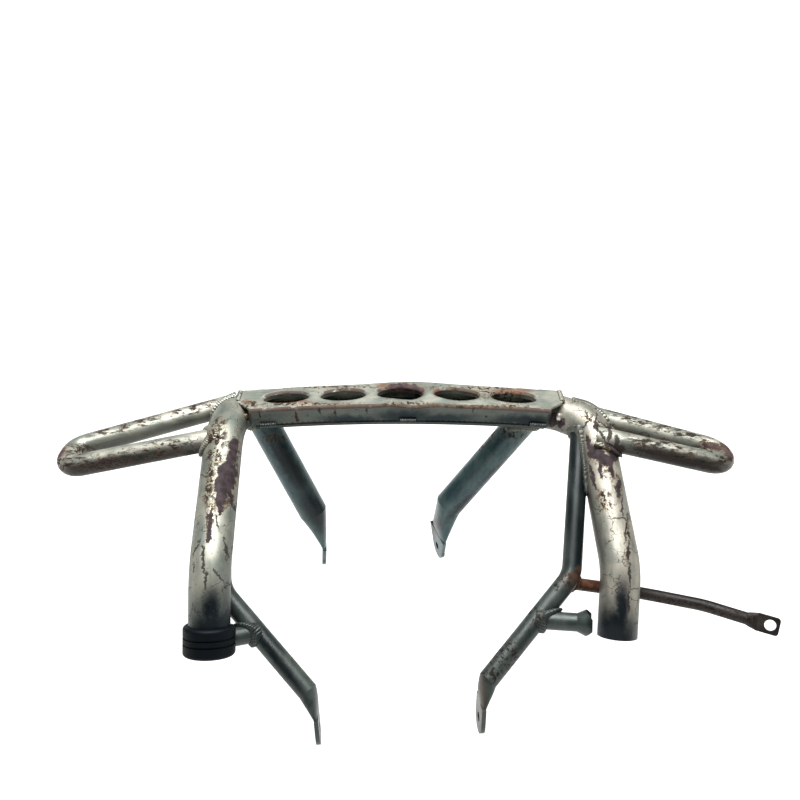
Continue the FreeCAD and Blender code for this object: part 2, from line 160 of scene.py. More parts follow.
def runs(tree, mm, sheet, look):
    # fine dull runs along the grain
    run = addNode(tree, "ShaderNodeVectorMath", times, {0: mm, 1: look["grain"]})
    run = addNode(tree, "ShaderNodeTexNoise", None,
                  {"Vector": run, "Scale": 1 / patternMm["run"], "Detail": 4.0, "Roughness": 0.6})
    run = addNode(tree, "ShaderNodeMapRange", soft,
                  {"Value": run, "From Min": 0.45, "From Max": 0.75, "To Max": 0.5})
    return [(run, hexColour(look["dull"]), False)]


def facingWay(tree, way, low, high, most):
    # rises to most as the surface turns to face the given way
    facing = addNode(tree, "ShaderNodeNewGeometry", None, None, "Normal")
    facing = addNode(tree, "ShaderNodeVectorMath", dot, {0: facing, 1: way}, "Value")
    return addNode(tree, "ShaderNodeMapRange", soft,
                   {"Value": facing, "From Min": low, "From Max": high, "To Max": most})


def paintedShadeByFacing(tree, mm, sheet, look):
    # painted shade: darkens what faces one way, and only in front of a given Y where one is named
    coats = []
    for way, low, high, most, tint, *reach in look["paintedShade"]:
        paintedShade = facingWay(tree, way, low, high, most)
        if reach:
            back = addNode(tree, "ShaderNodeSeparateXYZ", None, {0: mm}, 1)
            back = addNode(tree, "ShaderNodeMapRange", None,
                           {"Value": back, "From Min": reach[0], "From Max": reach[0] - patternMm["shadeFade"]})
            paintedShade = addNode(tree, "ShaderNodeMath", times, {0: paintedShade, 1: back})
        coats.append((paintedShade, hexColour(tint), False))
    return coats


def rubbedBends(tree, mm, sheet, look):
    # a bend rubbed through to brown steel, in patches
    coats = []
    for way, low, high, most, tint in look["rubbed"]:
        facing = facingWay(tree, way, low, high, most)
        patch = addNode(tree, "ShaderNodeTexNoise", None,
                        {"Vector": mm, "Scale": 1 / patternMm["rub"], "Detail": 5.0, "Roughness": 0.7})
        patch = addNode(tree, "ShaderNodeMapRange", soft, {"Value": patch, "From Min": 0.26, "From Max": 0.46})
        patch = addNode(tree, "ShaderNodeMath", times, {0: facing, 1: patch})
        coats.append((patch, hexColour(tint), True))
    return coats


def smearsAndPaintedLight(tree, mm, sheet, look):
    # smears that fade over their whole width: grease on the channel, painted reflection and painted shade on the legs
    # and loops, painted light on the strip, and darkening towards the lower end of each main tube
    if "smearAndPaintedLight" not in look:
        return []
    field = markField(tree, sheet, look["smearAndPaintedLight"], look["depth"])
    smearAndPaintedLight = addNode(tree, "ShaderNodeMapRange", soft,
                    {"Value": field, "From Min": 1.35, "From Max": 0.3, "To Max": look["smearAndLightMost"]})
    return [(smearAndPaintedLight, hexColour(look["smearAndLightTone"]), False)]


def stains(tree, mm, sheet, look):
    # brown rust wash that has soaked into the paint
    if "stain" not in look:
        return []
    field = markField(tree, sheet, look["stain"], look["depth"])
    stain = addNode(tree, "ShaderNodeMapRange", soft,
                    {"Value": field, "From Min": 1.3, "From Max": 0.5, "To Max": 0.6})
    return [(stain, hexColour(look["wash"]), False)]


def flecks(tree, mm, sheet, look):
    # flaking paint: crumbs with tan edges and dark middles
    if "fleck" not in look:
        return []
    field = markField(tree, sheet, look["fleck"], look["depth"])
    near = addNode(tree, "ShaderNodeMapRange", soft, {"Value": field, "From Min": 1.3, "From Max": 0.5})
    crumb = addNode(tree, "ShaderNodeVectorMath", times, {0: mm, 1: look["crumb"]})
    crumb = addNode(tree, "ShaderNodeTexNoise", None,
                    {"Vector": crumb, "Scale": 1 / patternMm["crumb"], "Detail": 6.0, "Roughness": 0.75})
    level = look["fleckLevel"]
    edge = addNode(tree, "ShaderNodeMapRange", soft,
                   {"Value": crumb, "From Min": level, "From Max": level + 0.035, "To Max": 0.7})
    core = addNode(tree, "ShaderNodeMapRange", soft,
                   {"Value": crumb, "From Min": level + 0.04, "From Max": level + 0.065})
    edge = addNode(tree, "ShaderNodeMath", times, {0: near, 1: edge})
    core = addNode(tree, "ShaderNodeMath", times, {0: near, 1: core})
    return [(edge, hexColour(look["fleckEdge"]), False), (core, hexColour(look["fleckCore"]), True)]


def rustPatches(tree, mm, sheet, look):
    # bare rusted steel, mottled brown, with a tan halo where the paint lifts
    if "rust" not in look:
        return []
    field = markField(tree, sheet, look["rust"], look["depth"])
    dark, light = look["rustTones"]
    mottle = addNode(tree, "ShaderNodeTexNoise", None,
                     {"Vector": mm, "Scale": 1 / patternMm["mottle"], "Detail": 5.0})
    mottle = addNode(tree, "ShaderNodeMapRange", soft, {"Value": mottle, "From Min": 0.35, "From Max": 0.65})
    brown = addNode(tree, "ShaderNodeMix", blend, {"Factor": mottle, 6: hexColour(dark), 7: hexColour(light)}, 2)
    halo = addNode(tree, "ShaderNodeMapRange", soft,
                   {"Value": field, "From Min": 1.45, "From Max": 1.0, "To Max": look["halo"]})
    rust = addNode(tree, "ShaderNodeMapRange", soft, {"Value": field, "From Min": 1.08, "From Max": 0.88})
    return [(halo, hexColour(look["haloTone"]), False), (rust, brown, True)]


def chips(tree, mm, sheet, look):
    # scratches and chips down to dark steel
    if "chip" not in look:
        return []
    field = markField(tree, sheet, look["chip"], look["depth"])
    chip = addNode(tree, "ShaderNodeMapRange", soft,
                   {"Value": field, "From Min": 1.1, "From Max": 0.7, "To Max": 0.92})
    return [(chip, hexColour(look["chipTone"]), True)]


def pinholes(tree, mm, sheet, look):
    # rust pinholes about a millimetre wide
    level = look["pitLevel"]
    pits = addNode(tree, "ShaderNodeTexNoise", None, {"Vector": mm, "Scale": 1 / patternMm["pit"], "Detail": 2.0})
    pits = addNode(tree, "ShaderNodeMapRange", soft,
                   {"Value": pits, "From Min": level, "From Max": level + 0.05, "To Max": 0.75})
    return [(pits, hexColour(look["pitTone"]), True)]


def cracks(tree, mm, sheet, look):
    # fine cracks in the paint: the edges of cells, bent and broken up by noise
    if "cracks" not in look:
        return []
    swing = patternMm["crackBend"]
    bend = addNode(tree, "ShaderNodeTexNoise", None,
                   {"Vector": mm, "Scale": 1 / patternMm["crackBendGrain"], "Detail": 4.0}, "Color")
    bend = addNode(tree, "ShaderNodeVectorMath", {"operation": "MULTIPLY_ADD"},
                   {0: bend, 1: (swing, swing, swing), 2: mm})
    line = addNode(tree, "ShaderNodeTexVoronoi", {"feature": "DISTANCE_TO_EDGE"},
                   {"Vector": bend, "Scale": 1 / patternMm["crackCell"]})
    line = addNode(tree, "ShaderNodeMapRange", soft,
                   {"Value": line, "From Min": 0.03, "From Max": 0.012, "To Max": 0.8})
    part = addNode(tree, "ShaderNodeTexNoise", None,
                   {"Vector": mm, "Scale": 1 / patternMm["crackBreak"], "Detail": 3.0})
    part = addNode(tree, "ShaderNodeMapRange", soft,
                   {"Value": part, "From Min": 1 - look["cracks"], "From Max": 1.06 - look["cracks"]})
    crack = addNode(tree, "ShaderNodeMath", times, {0: line, 1: part})
    return [(crack, hexColour(look["crackTone"]), True)]


def wornPaint(name, ownLook):
    # sprayed paint on steel tube, weathered: dull sheen, chalky clouds, fine runs, pits, lifted flakes and rust, with
    # painted shade and painted light laid over as coats
    look = {**plainPaint, **ownLook}
    material, tree, shader = newMaterial(name)
    mm = placeInMm(tree)
    sheet = onSheet(tree, mm)
    cloud = addNode(tree, "ShaderNodeTexNoise", None,
                    {"Vector": mm, "Scale": 1 / patternMm["cloud"], "Detail": 3.0})
    cloud = addNode(tree, "ShaderNodeMapRange", soft, {"Value": cloud, "From Min": 0.35, "From Max": 0.65})
    coats = [(cloud, hexColour(look["chalk"]), False)]
    for layer in (runs, paintedShadeByFacing, rubbedBends, smearsAndPaintedLight, stains, flecks, rustPatches, chips, pinholes, cracks):
        coats += layer(tree, mm, sheet, look)

    colour = hexColour(look["paint"])
    lifted = 0.0
    for mask, tint, bare in coats:
        colour = addNode(tree, "ShaderNodeMix", blend, {"Factor": mask, 6: colour, 7: tint}, 2)
        if bare:
            lifted = addNode(tree, "ShaderNodeMath", {"operation": "MAXIMUM"}, {0: lifted, 1: mask})

    # where the paint is gone the surface is rougher, not metallic, and lower
    smooth, coarse = look["rough"]
    rough = addNode(tree, "ShaderNodeMapRange", None, {"Value": cloud, "To Min": smooth, "To Max": coarse})
    rough = addNode(tree, "ShaderNodeMath", {"operation": "MULTIPLY_ADD", "use_clamp": True},
                    {0: lifted, 1: 0.35, 2: rough})
    metal = addNode(tree, "ShaderNodeMapRange", None, {"Value": lifted, "To Min": look["metal"], "To Max": 0.0})
    grit = addNode(tree, "ShaderNodeTexNoise", None,
                   {"Vector": mm, "Scale": 1 / look["lumpMm"], "Detail": 4.0, "Roughness": 0.6})
    height = addNode(tree, "ShaderNodeMath", {"operation": "MULTIPLY_ADD"}, {0: lifted, 1: -1.4, 2: grit})
    bump = addNode(tree, "ShaderNodeBump", None,
                   {"Strength": look["lump"], "Distance": patternMm["bump"] / 1000, "Height": height})
    if "dentMm" in look:
        # knocks: slow hollows about as wide as dentMm
        hollow = addNode(tree, "ShaderNodeTexNoise", None, {"Vector": mm, "Scale": 1 / look["dentMm"], "Detail": 1.0})
        bump = addNode(tree, "ShaderNodeBump", None,
                       {"Strength": 0.6, "Distance": patternMm["dent"] / 1000, "Height": hollow, "Normal": bump})
    for key, value in (("Base Color", colour), ("Roughness", rough), ("Metallic", metal), ("Normal", bump)):
        tree.links.new(value, shader.inputs[key])
    return material


# sprayed silver enamel: soft metallic sheen, grey-green where it has dulled, painted shade on the undersides.
# Each painted shade by facing, and each rubbed bend, is (the way it faces, where it starts, where it is full, its
# most, its colour, its last Y)
# painted shade: darkens every surface that faces down
undersideShade = ((0, -0.3, -0.95), -0.25, 0.75, 0.75, "#2b3331")
# painted shade on the loops: darkens what faces down and forward
loopUndersideShade = ((0, -0.5, -0.87), -0.3, 0.6, 0.8, "#2d2c2a")
# painted shade on the main tubes: darkens both sides that face left and right
flankShade = [((1, 0, 0), 0.6, 1.0, 0.55, "#373a35"), ((-1, 0, 0), 0.6, 1.0, 0.55, "#373a35")]
# painted shade on the main tubes: darkens the tops that face up
topShade = ((0, 0.3, 0.95), 0.72, 1.0, 0.35, "#5d615b")
silver = {"paint": "#9b9f95", "chalk": "#b9b7aa", "dull": "#69706a", "metal": 0.5, "paintedShade": [undersideShade], "dentMm": 38.0}

# the left tube's paint and chalk are darker than the right tube's: painted shade on a copy of the same enamel
leftTube = dict(
    silver, paint="#959a90", chalk="#afada0", paintedShade=[undersideShade, topShade] + flankShade, depth=(845, -0.48),
    cracks=0.5, rough=(0.38, 0.52), fleckLevel=0.45, smearAndLightTone="#0e1d25", smearAndLightMost=0.97,
    rust=[(232, 446, 4, 7, 0), (231, 457, 5, 8, 0), (226, 470, 8, 9, 0), (224, 484, 9, 11, 0),
          (222, 497, 5, 10, 0), (222, 508, 2, 7, 0), (212, 520, 2.2, 15, 0), (211, 534, 2.5, 7, 0),
          (233, 476, 2, 14, 0), (230, 496, 1.6, 8, 10), (247, 418, 5, 9, 0)],
    fleck=[(216, 438, 10, 16, 0), (214, 456, 9, 12, 0), (210, 480, 5, 28, 0), (212, 512, 5, 18, 0),
           (217, 424, 8, 8, 0), (224, 500, 8, 10, 0)],
    chip=[(205, 554, 1.8, 12, 10), (207, 580, 1.7, 10, 0), (226, 546, 1.2, 13, 10), (219, 521, 1.0, 9, 15),
          (204, 476, 8, 0.8, 8), (231, 548, 1, 9, 0), (198, 546, 1.2, 10, -20), (205, 567, 1.2, 7, 25),
          (219, 576, 1.0, 11, 30), (225, 588, 5, 0.8, -15), (195, 566, 1.2, 5, 0), (232, 505, 1.2, 9, 15)],
    # these smears darken the tube towards its lower end, across its whole width
    smearAndPaintedLight=[(208, 617, 15, 30, 0), (209, 640, 46, 36, 0), (208, 655, 48, 58, 0)])
dress(wornPaint("wornSilverEnamelLeftTube", leftTube), "main_tube_left")

rightTube = dict(
    silver, paint="#a09f95", chalk="#b9b3a6", paintedShade=[undersideShade, topShade] + flankShade, depth=(877, -0.37),
    cracks=0.5, rough=(0.38, 0.52), smearAndLightTone="#0f1d26", smearAndLightMost=0.96,
    rust=[(597, 453, 8, 8, 0), (609, 436, 5, 12, -10), (616, 452, 6, 10, 0), (607, 460, 8, 6, 0),
          (601, 470, 2, 9, 0), (611, 468, 2.2, 10, 0), (594, 478, 1.8, 14, 10), (619, 488, 2.5, 11, -10),
          (600, 430, 2.5, 9, 30), (590, 446, 2, 12, 0), (559, 420, 4, 8, 0), (566, 424, 3, 5, 0)],
    fleck=[(612, 446, 10, 12, 0), (603, 464, 9, 9, 0), (592, 420, 10, 9, 0), (618, 486, 6, 14, 0),
           (627, 540, 4, 22, -10), (605, 500, 8, 12, 0)],
    chip=[(625, 530, 1.5, 12, -12), (628, 550, 1.7, 10, -10), (618, 518, 14, 0.7, 3), (622, 507, 1.2, 12, -8),
          (590, 417, 1, 8, 15), (597, 420, 1, 10, -20), (603, 424, 1, 9, 35), (587, 425, 1, 7, -40),
          (629, 575, 1.3, 16, 0), (636, 590, 6, 0.8, 0), (631, 604, 1.2, 14, 0)],
    # these smears darken the tube towards its lower end, across its whole width
    smearAndPaintedLight=[(625, 612, 9, 34, 0), (622, 632, 20, 24, 0), (618, 650, 44, 44, 0)])
dress(wornPaint("wornSilverEnamelRightTube", rightTube), "main_tube_right")

leftLoop = dict(
    silver, paintedShade=[loopUndersideShade], depth=(905, 0), grain=(0.25, 1, 1), crumb=(0.4, 1, 1), cracks=0.46,
    smearAndLightTone="#221e1c", smearAndLightMost=0.92, fleckEdge="#6b5a4a", rustTones=("#4b3b3a", "#64524f"),
    rust=[(58, 458, 5, 8, 0), (64, 452, 5, 5, 20)],
    fleck=[(185, 408, 28, 7, 15), (120, 426, 40, 6, 14), (160, 449, 45, 9, 12), (75, 456, 22, 14, 0),
           (110, 462, 30, 9, 10)],
    chip=[(160, 463, 32, 2.2, 12), (112, 473, 30, 2.2, 8), (196, 452, 9, 3, 10)],
    # a dark band along the loop's lower side: painted reflection
    smearAndPaintedLight=[(132, 461, 80, 11, 10)])
dress(wornPaint("wornSilverEnamelLeftLoop", leftLoop), "side_loop_left")

rightLoop = dict(
    silver, paintedShade=[loopUndersideShade], depth=(905, 0), grain=(0.25, 1, 1), crumb=(0.4, 1, 1), cracks=0.5,
    smearAndLightTone="#221e1c", smearAndLightMost=0.92, fleckEdge="#6b5a4a", rustTones=("#3d302d", "#5a4640"),
    rust=[(727, 452, 5, 9, 0), (716, 446, 8, 4, -15)],
    fleck=[(640, 418, 30, 7, -16), (690, 434, 36, 6, -16), (660, 446, 40, 9, -14), (715, 454, 20, 12, 0)],
    chip=[(690, 463, 34, 2.4, -13), (650, 452, 22, 2.2, -13), (640, 444, 2, 5, 0), (652, 447, 2, 5, 15),
          (668, 451, 3, 4, 0), (608, 433, 2.5, 9, -15), (614, 441, 3, 8, 0), (601, 436, 1.6, 8, 25),
          (617, 448, 6, 5, 0), (606, 446, 6, 3, 0)],
    # a dark band along the loop's lower side: painted reflection
    smearAndPaintedLight=[(676, 458, 58, 10, -12)])
dress(wornPaint("wornSilverEnamelRightLoop", rightLoop), "side_loop_right")

# the strip under the channel: road-grey outside, and a pale patch of painted light under each hole, where light falls
# in through it and lights the hole
strip = dict(
    paint="#3d4543", chalk="#4b524f", dull="#2b3231", depth=(955, 0), metal=0.15, pitLevel=0.68,
    smearAndLightTone="#d5d8cd", smearAndLightMost=1.0,
    # pale patches under the five holes: painted light
    smearAndPaintedLight=[(288, 398, 26, 14, 0), (346, 396, 26, 14, 0), (403, 394, 26, 14, 0), (459, 395, 26, 14, 0),
           (514, 398, 26, 14, 0)])
dress(wornPaint("stripWithPaintedLightUnderHoles", strip), "closing_strip")

# grey-green chassis paint: smoother than the silver, with dark runs of painted reflection down the middle of each leg
legGrey = {"metal": 0.15, "pitLevel": 0.69, "smearAndLightTone": "#0a1418"}
upperLegs = dict(
    legGrey, paint="#40565a", chalk="#566a69", dull="#2a393b", depth=(1000, 0.6), rough=(0.24, 0.36),
    smearAndLightMost=0.92, fleckEdge="#5b5648",
    # dark runs down the middle of each leg: painted reflection
    smearAndPaintedLight=[(289, 466, 10, 46, 28), (316, 512, 13, 38, 28), (508, 463, 5, 46, -46), (466, 505, 6, 30, -46),
           (437, 530, 5, 16, -10)],
    fleck=[(484, 444, 6, 22, -46), (275, 438, 20, 5, 10), (512, 434, 16, 5, -10)])
dress(wornPaint("greyGreenUpperLegPaint", upperLegs), "upper_leg_left", "upper_leg_right")

lowerLegs = dict(
    legGrey, paint="#39413f", chalk="#4a514d", dull="#222928", depth=(888, -0.36), rough=(0.32, 0.44),
    smearAndLightMost=0.88, halo=0.12, fleckCore="#15110f", fleckEdge="#3f3b33", wash="#4f3f33",
    rustTones=("#2b1e19", "#523626"),
    # dark runs down the middle of the legs: painted reflection; the dark patch in the right link's mouth: painted
    # shade
    smearAndPaintedLight=[(581, 466, 13, 64, 0), (577, 534, 13, 54, 3), (280, 660, 6, 50, 38), (590, 617, 5, 16, 0)],
    stain=[(482, 704, 8, 24, 0), (572, 582, 12, 9, 0)],
    rust=[(579, 574, 6, 6, 0), (586, 580, 5, 5, 0), (571, 577, 3, 4, 0)],
    fleck=[(505, 652, 26, 14, -45), (492, 672, 12, 14, 0), (560, 582, 14, 10, 0), (536, 618, 10, 10, 0),
           (530, 610, 8, 8, 0)])
dress(wornPaint("greyGreenLowerLegPaint", lowerLegs),
      "lower_leg_left", "lower_leg_right", "link_left", "link_right")

# burnt steel rod: brown-black scale with a faint sheen, orange near its weld
rod = dict(
    paint="#1a1513", chalk="#2a231f", dull="#0e0c0c", depth=(880, 0), metal=0.1, pitLevel=0.62,
    rough=(0.42, 0.6), grain=(0.3, 1, 1), fleckEdge="#4a443e", rustTones=("#4d3226", "#6b4631"),
    rust=[(585, 581, 16, 8, -15), (600, 587, 10, 4, -15)],
    fleck=[(660, 602, 60, 5, -10), (730, 615, 30, 8, -10)])
dress(wornPaint("burntSteelRod", rod), "stay_rod")


# moulded black rubber: almost no gloss, greyed by dust
rubber = {"black": "#020a10", "dusty": "#081a26", "dustMm": 9.0, "grainMm": 1.5, "bumpMm": 0.5, "rough": 0.6,
          "gloss": 0.25}


def softRubber():
    material, tree, shader = newMaterial("dustyBlackRubber")
    mm = placeInMm(tree)
    dust = addNode(tree, "ShaderNodeTexNoise", None, {"Vector": mm, "Scale": 1 / rubber["dustMm"], "Detail": 4.0})
    dust = addNode(tree, "ShaderNodeMapRange", soft,
                   {"Value": dust, "From Min": 0.4, "From Max": 0.75, "To Max": 0.5})
    colour = addNode(tree, "ShaderNodeMix", blend,
                     {"Factor": dust, 6: hexColour(rubber["black"]), 7: hexColour(rubber["dusty"])}, 2)
    grain = addNode(tree, "ShaderNodeTexNoise", None, {"Vector": mm, "Scale": 1 / rubber["grainMm"], "Detail": 3.0})
    bump = addNode(tree, "ShaderNodeBump", None,
                   {"Strength": 0.15, "Distance": rubber["bumpMm"] / 1000, "Height": grain})
    tree.links.new(colour, shader.inputs["Base Color"])
    tree.links.new(bump, shader.inputs["Normal"])
    shader.inputs["Roughness"].default_value = rubber["rough"]
    shader.inputs["Specular IOR Level"].default_value = rubber["gloss"]
    return material


dress(softRubber(), "end_cap")
print("finishes on the nodes")


def mergedCopy(node, gapMm):
    # a node's mesh is loose triangles: a copy of it whose meeting corners are joined, open for more changes
    mesh = nodes[node].data.copy()
    change = bmesh.new()
    change.from_mesh(mesh)
    bmesh.ops.remove_doubles(change, verts=change.verts, dist=gapMm / 1000)
    return mesh, change


def closeCopy(change, mesh):
    change.to_mesh(mesh)
    change.free()


def pointsMm(mesh, field="co"):
    points = np.empty(len(mesh.vertices) * 3)
    mesh.vertices.foreach_get(field, points)
    return points.reshape(-1, 3) * 1000


def finishSkin(mesh, points, material):
    # the moved points, in mm, smooth shading and the material
    mesh.vertices.foreach_set("co", (points / 1000).ravel())
    mesh.polygons.foreach_set("use_smooth", np.ones(len(mesh.polygons), dtype=bool))
    mesh.materials.clear()
    mesh.materials.append(material)
    mesh.update()


# the channel's enamel: painted shade on the front face, rubbed brown along both bends, dark and rusty round the
# middle hole
# painted shade: darkens the channel's front face, in front of Y 86 mm
pressed = ((0, -1, 0), 0.5, 0.9, 0.55, "#434c4c", 86.0)
frontBend = ((0, -0.71, 0.71), 0.74, 0.9, 1.0, "#54463f")
backBend = ((0, 0.71, 0.71), 0.8, 0.93, 0.8, "#4a3c37")
channelLook = dict(
    silver, paint="#989e94", chalk="#adada1", paintedShade=[pressed, undersideShade], rubbed=[frontBend, backBend],
    depth=(940, 0), cracks=0.42, grain=(0.25, 1, 1), smearAndLightTone="#1a282d", wash="#7d4c37",
    rustTones=("#332629", "#543c38"),
    rust=[(402, 387.5, 17, 4.5, 0), (419, 391, 5, 4.5, 0), (299, 416, 1.8, 6, 0)],
    fleck=[(310, 404, 60, 2.5, 0), (252, 404, 9, 5, 0), (500, 394, 30, 5, 0), (400, 425, 140, 2.5, 0),
           (480, 406, 60, 2, 0), (330, 387, 60, 2, 0), (470, 388, 50, 2.5, 0), (404, 404, 30, 3, 0)],
    chip=[(243, 407, 7, 1.3, -28), (251, 411, 4, 1.4, -40), (560, 409, 5, 1.2, 30), (337, 412, 0.8, 5, 0),
          (322, 411, 0.8, 5, 8), (368, 410, 0.8, 3.5, 0), (263, 414, 0.8, 4, 0), (471, 410, 0.8, 3.5, 0),
          (545, 416, 0.8, 4, 0), (484, 416, 2, 0.8, 0)],
    stain=[(512, 391, 24, 3.2, 3), (505, 390, 16, 2.4, 3), (437, 393, 5, 4, 0), (249, 402, 6, 3, 0),
           (388, 386, 14, 3, 0), (300, 401, 18, 2, 0), (340, 423, 50, 1.6, 0)],
    smearAndPaintedLight=[(403, 391, 24, 6, 0), (405, 416, 34, 9, 0), (520, 420, 40, 6, 0), (352, 419, 34, 5, 0),
           (440, 418, 40, 6, 0)])
# the knock in its middle, in mm: back edge pushed up, front edge nicked down between two low waves
knock = {"node": "perforated_channel", "gap": 0.02, "edge": 5.0, "halvings": 8, "middle": 60.0, "sharpDeg": 30.0,
         "edgeFade": 4.0, "footFade": 2.0, "topFade": 6.0, "backRise": 3.4, "backHalf": 46.0,
         "nick": 1.7, "nickAt": 3.0, "nickHalf": 9.0, "wave": 1.2, "waveAt": 24.0, "waveHalf": 11.0}


def ramp(value, low, high):
    # 0 below low, 1 above high, 3t^2 - 2t^3 between
    t = np.clip((value - low) / (high - low), 0, 1)
    return t * t * (3 - 2 * t)


def bell(value, half):
    # exp(-(value / half)^2)
    return np.exp(-(value / half) ** 2)


def knockedChannel(name):
    # the pressed channel's own solid with its long triangles divided, then its top sheet moved up and down by bells
    # along X: the back bell fades to the front edge, the front ones fade to the back, and the flanges' feet stay
    mesh, cut = mergedCopy(knock["node"], knock["gap"])
    bmesh.ops.dissolve_degenerate(cut, edges=cut.edges, dist=knock["gap"] / 1000)
    for halving in range(knock["halvings"]):
        tooLong = [edge for edge in cut.edges if edge.calc_length() * 1000 > knock["edge"]]
        if not tooLong:
            break
        bmesh.ops.subdivide_edges(cut, edges=tooLong, cuts=1)
        bmesh.ops.triangulate(cut, faces=[face for face in cut.faces if len(face.verts) > 3])
    bmesh.ops.dissolve_degenerate(cut, edges=cut.edges, dist=knock["gap"] / 1000)
    closeCopy(cut, mesh)
    x, y, z = pointsMm(mesh).T
    middle = np.abs(x) < knock["middle"]
    back = ramp(y, y[middle].min() + knock["edgeFade"], y[middle].max() - knock["edgeFade"])
    high = ramp(z, z[middle].min() + knock["footFade"], z[middle].max() - knock["topFade"])
    rear = knock["backRise"] * bell(x, knock["backHalf"])
    front = knock["wave"] * bell(np.abs(x - knock["nickAt"]) - knock["waveAt"], knock["waveHalf"])
    front = front - knock["nick"] * bell(x - knock["nickAt"], knock["nickHalf"])
    moved = np.stack([x, y, z + high * (back * rear + (1 - back) * front)], axis=1)
    finishSkin(mesh, moved, wornPaint("wornSilverEnamelChannel", channelLook))
    mesh.set_sharp_from_angle(angle=math.radians(knock["sharpDeg"]))
    channel = addObject(name, mesh)
    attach(channel, "root")
    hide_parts(knock["node"])


knockedChannel("knockedChannel")
print("channel knocked")

# painted weld beads: the paint of the tube they lie on, over a lumpy bead, with rust in its ripples
bead = {"lump": 0.4, "lumpMm": 1.6}
leftWeld = wornPaint("enamelOverLeftWeld", dict(leftTube, **bead, pitLevel=0.6, paint="#8b8e85", chalk="#a3a195"))
rightWeld = wornPaint("enamelOverRightWeld", dict(rightTube, **bead, pitLevel=0.6, paint="#7d7f77", chalk="#999689"))
stitch = dict(bead, paint="#33393a", chalk="#474c4a", dull="#252b2c", metal=0.3, pitLevel=0.58)
stitchWeld = wornPaint("enamelOverStitchWeld", stitch)
shadedWeld = wornPaint("grimyEnamelOverLegWeld", dict(stitch, paint="#5a5e58", chalk="#6d6e65"))
legWeld = wornPaint("legPaintOverWeld", dict(lowerLegs, **bead, pitLevel=0.6))
# rusted weld: matt orange-brown crust
rodWeld = wornPaint("rustedWeldBead", dict(
    paint="#53392c", chalk="#734a33", dull="#34251f", metal=0.0, pitLevel=0.55, rough=(0.7, 0.85),
    lump=0.5, lumpMm=1.6))

# ripples in mm, and the fewest points that a bead can have
ripple = {"gap": 0.001, "voxel": 0.5, "smoothing": 0.5, "rounds": 5, "fewest": 200,
          "pitch": 2.6, "rise": 0.55, "level": 0.45, "swell": 0.3}
rippledWelds = {"rippledLoopWeldLeft": ("weld_loop_left", "ring", leftWeld, "painted_weld"),
                "rippledLoopWeldRight": ("weld_loop_right", "ring", rightWeld, "painted_weld"),
                "rippledLegWeldLeft": ("weld_legs_left", "ring", shadedWeld, "painted_weld"),
                "rippledLegWeldRight": ("weld_legs_right", "ring", shadedWeld, "painted_weld"),
                "rippledLinkWeldLeft": ("weld_link_left", "ring", legWeld, "painted_weld"),
                "rippledLinkWeldRight": ("weld_link_right", "ring", legWeld, "painted_weld"),
                "rippledRodWeld": ("weld_rod", "ring", rodWeld, "rusted_weld"),
                "rippledSeamWeldLeft": ("weld_seam_left", "line", leftWeld, "painted_weld"),
                "rippledSeamWeldRight": ("weld_seam_right", "line", rightWeld, "painted_weld"),
                "rippledStitchWelds": ("weld_stitches", "line", stitchWeld, "painted_weld")}


def lumpNumbers(mesh):
    # a number for each separate bead: every vertex takes the lowest number next to it until none changes
    ends = np.empty(len(mesh.edges) * 2, dtype=np.int32)
    mesh.edges.foreach_get("vertices", ends)
    tail, head = ends.reshape(-1, 2).T
    number = np.arange(len(mesh.vertices))
    while True:
        low = np.minimum(number[tail], number[head])
        lower = number.copy()
        np.minimum.at(lower, tail, low)
        np.minimum.at(lower, head, low)
        lower = lower[lower]
        if (lower == number).all():
            return number
        number = lower


def fineSkin(weld):
    # the weld remeshed fine and smoothed, without the specks that the remesh breaks off a thin tip
    fine = weld.modifiers.new("fine", "REMESH")
    fine.mode = "VOXEL"
    fine.voxel_size = ripple["voxel"] / 1000
    even = weld.modifiers.new("even", "SMOOTH")
    even.factor = ripple["smoothing"]
    even.iterations = ripple["rounds"]
    skin = bpy.data.meshes.new_from_object(weld.evaluated_get(bpy.context.evaluated_depsgraph_get()))
    weld.modifiers.clear()
    numbers = lumpNumbers(skin)
    specks = np.flatnonzero(np.bincount(numbers)[numbers] < ripple["fewest"])
    trim = bmesh.new()
    trim.from_mesh(skin)
    trim.verts.ensure_lookup_table()
    bmesh.ops.delete(trim, geom=[trim.verts[speck] for speck in specks], context="VERTS")
    closeCopy(trim, skin)
    return skin


def rippledWeld(name, node, run, material, slot):
    # the weld's own solid with a fine skin that rises along its normals by |cos| of the way along the bead,
    # one ripple each pitch: the angle round a ring, or the distance along a straight bead
    mesh, merge = mergedCopy(node, ripple["gap"])
    closeCopy(merge, mesh)
    weld = addObject(name, mesh)
    skin = fineSkin(weld)
    weld.data = skin
    points = pointsMm(skin)
    normals = pointsMm(skin, "normal") / 1000
    numbers = lumpNumbers(skin)
    rise = np.zeros(len(points))
    for number in np.unique(numbers):
        mine = numbers == number
        local = points[mine] - points[mine].mean(axis=0)
        axes = np.linalg.svd(local, full_matrices=False)[2]
        along, across = local @ axes[0], local @ axes[1]
        way = along * np.pi / ripple["pitch"]
        if run == "ring":
            count = round(2 * np.pi * np.hypot(along, across).mean() / ripple["pitch"])
            way = np.arctan2(across, along) * count / 2
        rise[mine] = ripple["swell"] + ripple["rise"] * (np.abs(np.cos(way)) - ripple["level"])
    finishSkin(skin, points + normals * rise[:, None], material)
    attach(weld, "root")
    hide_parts(node)


for name, weld in rippledWelds.items():
    rippledWeld(name, *weld)
print("welds rippled")

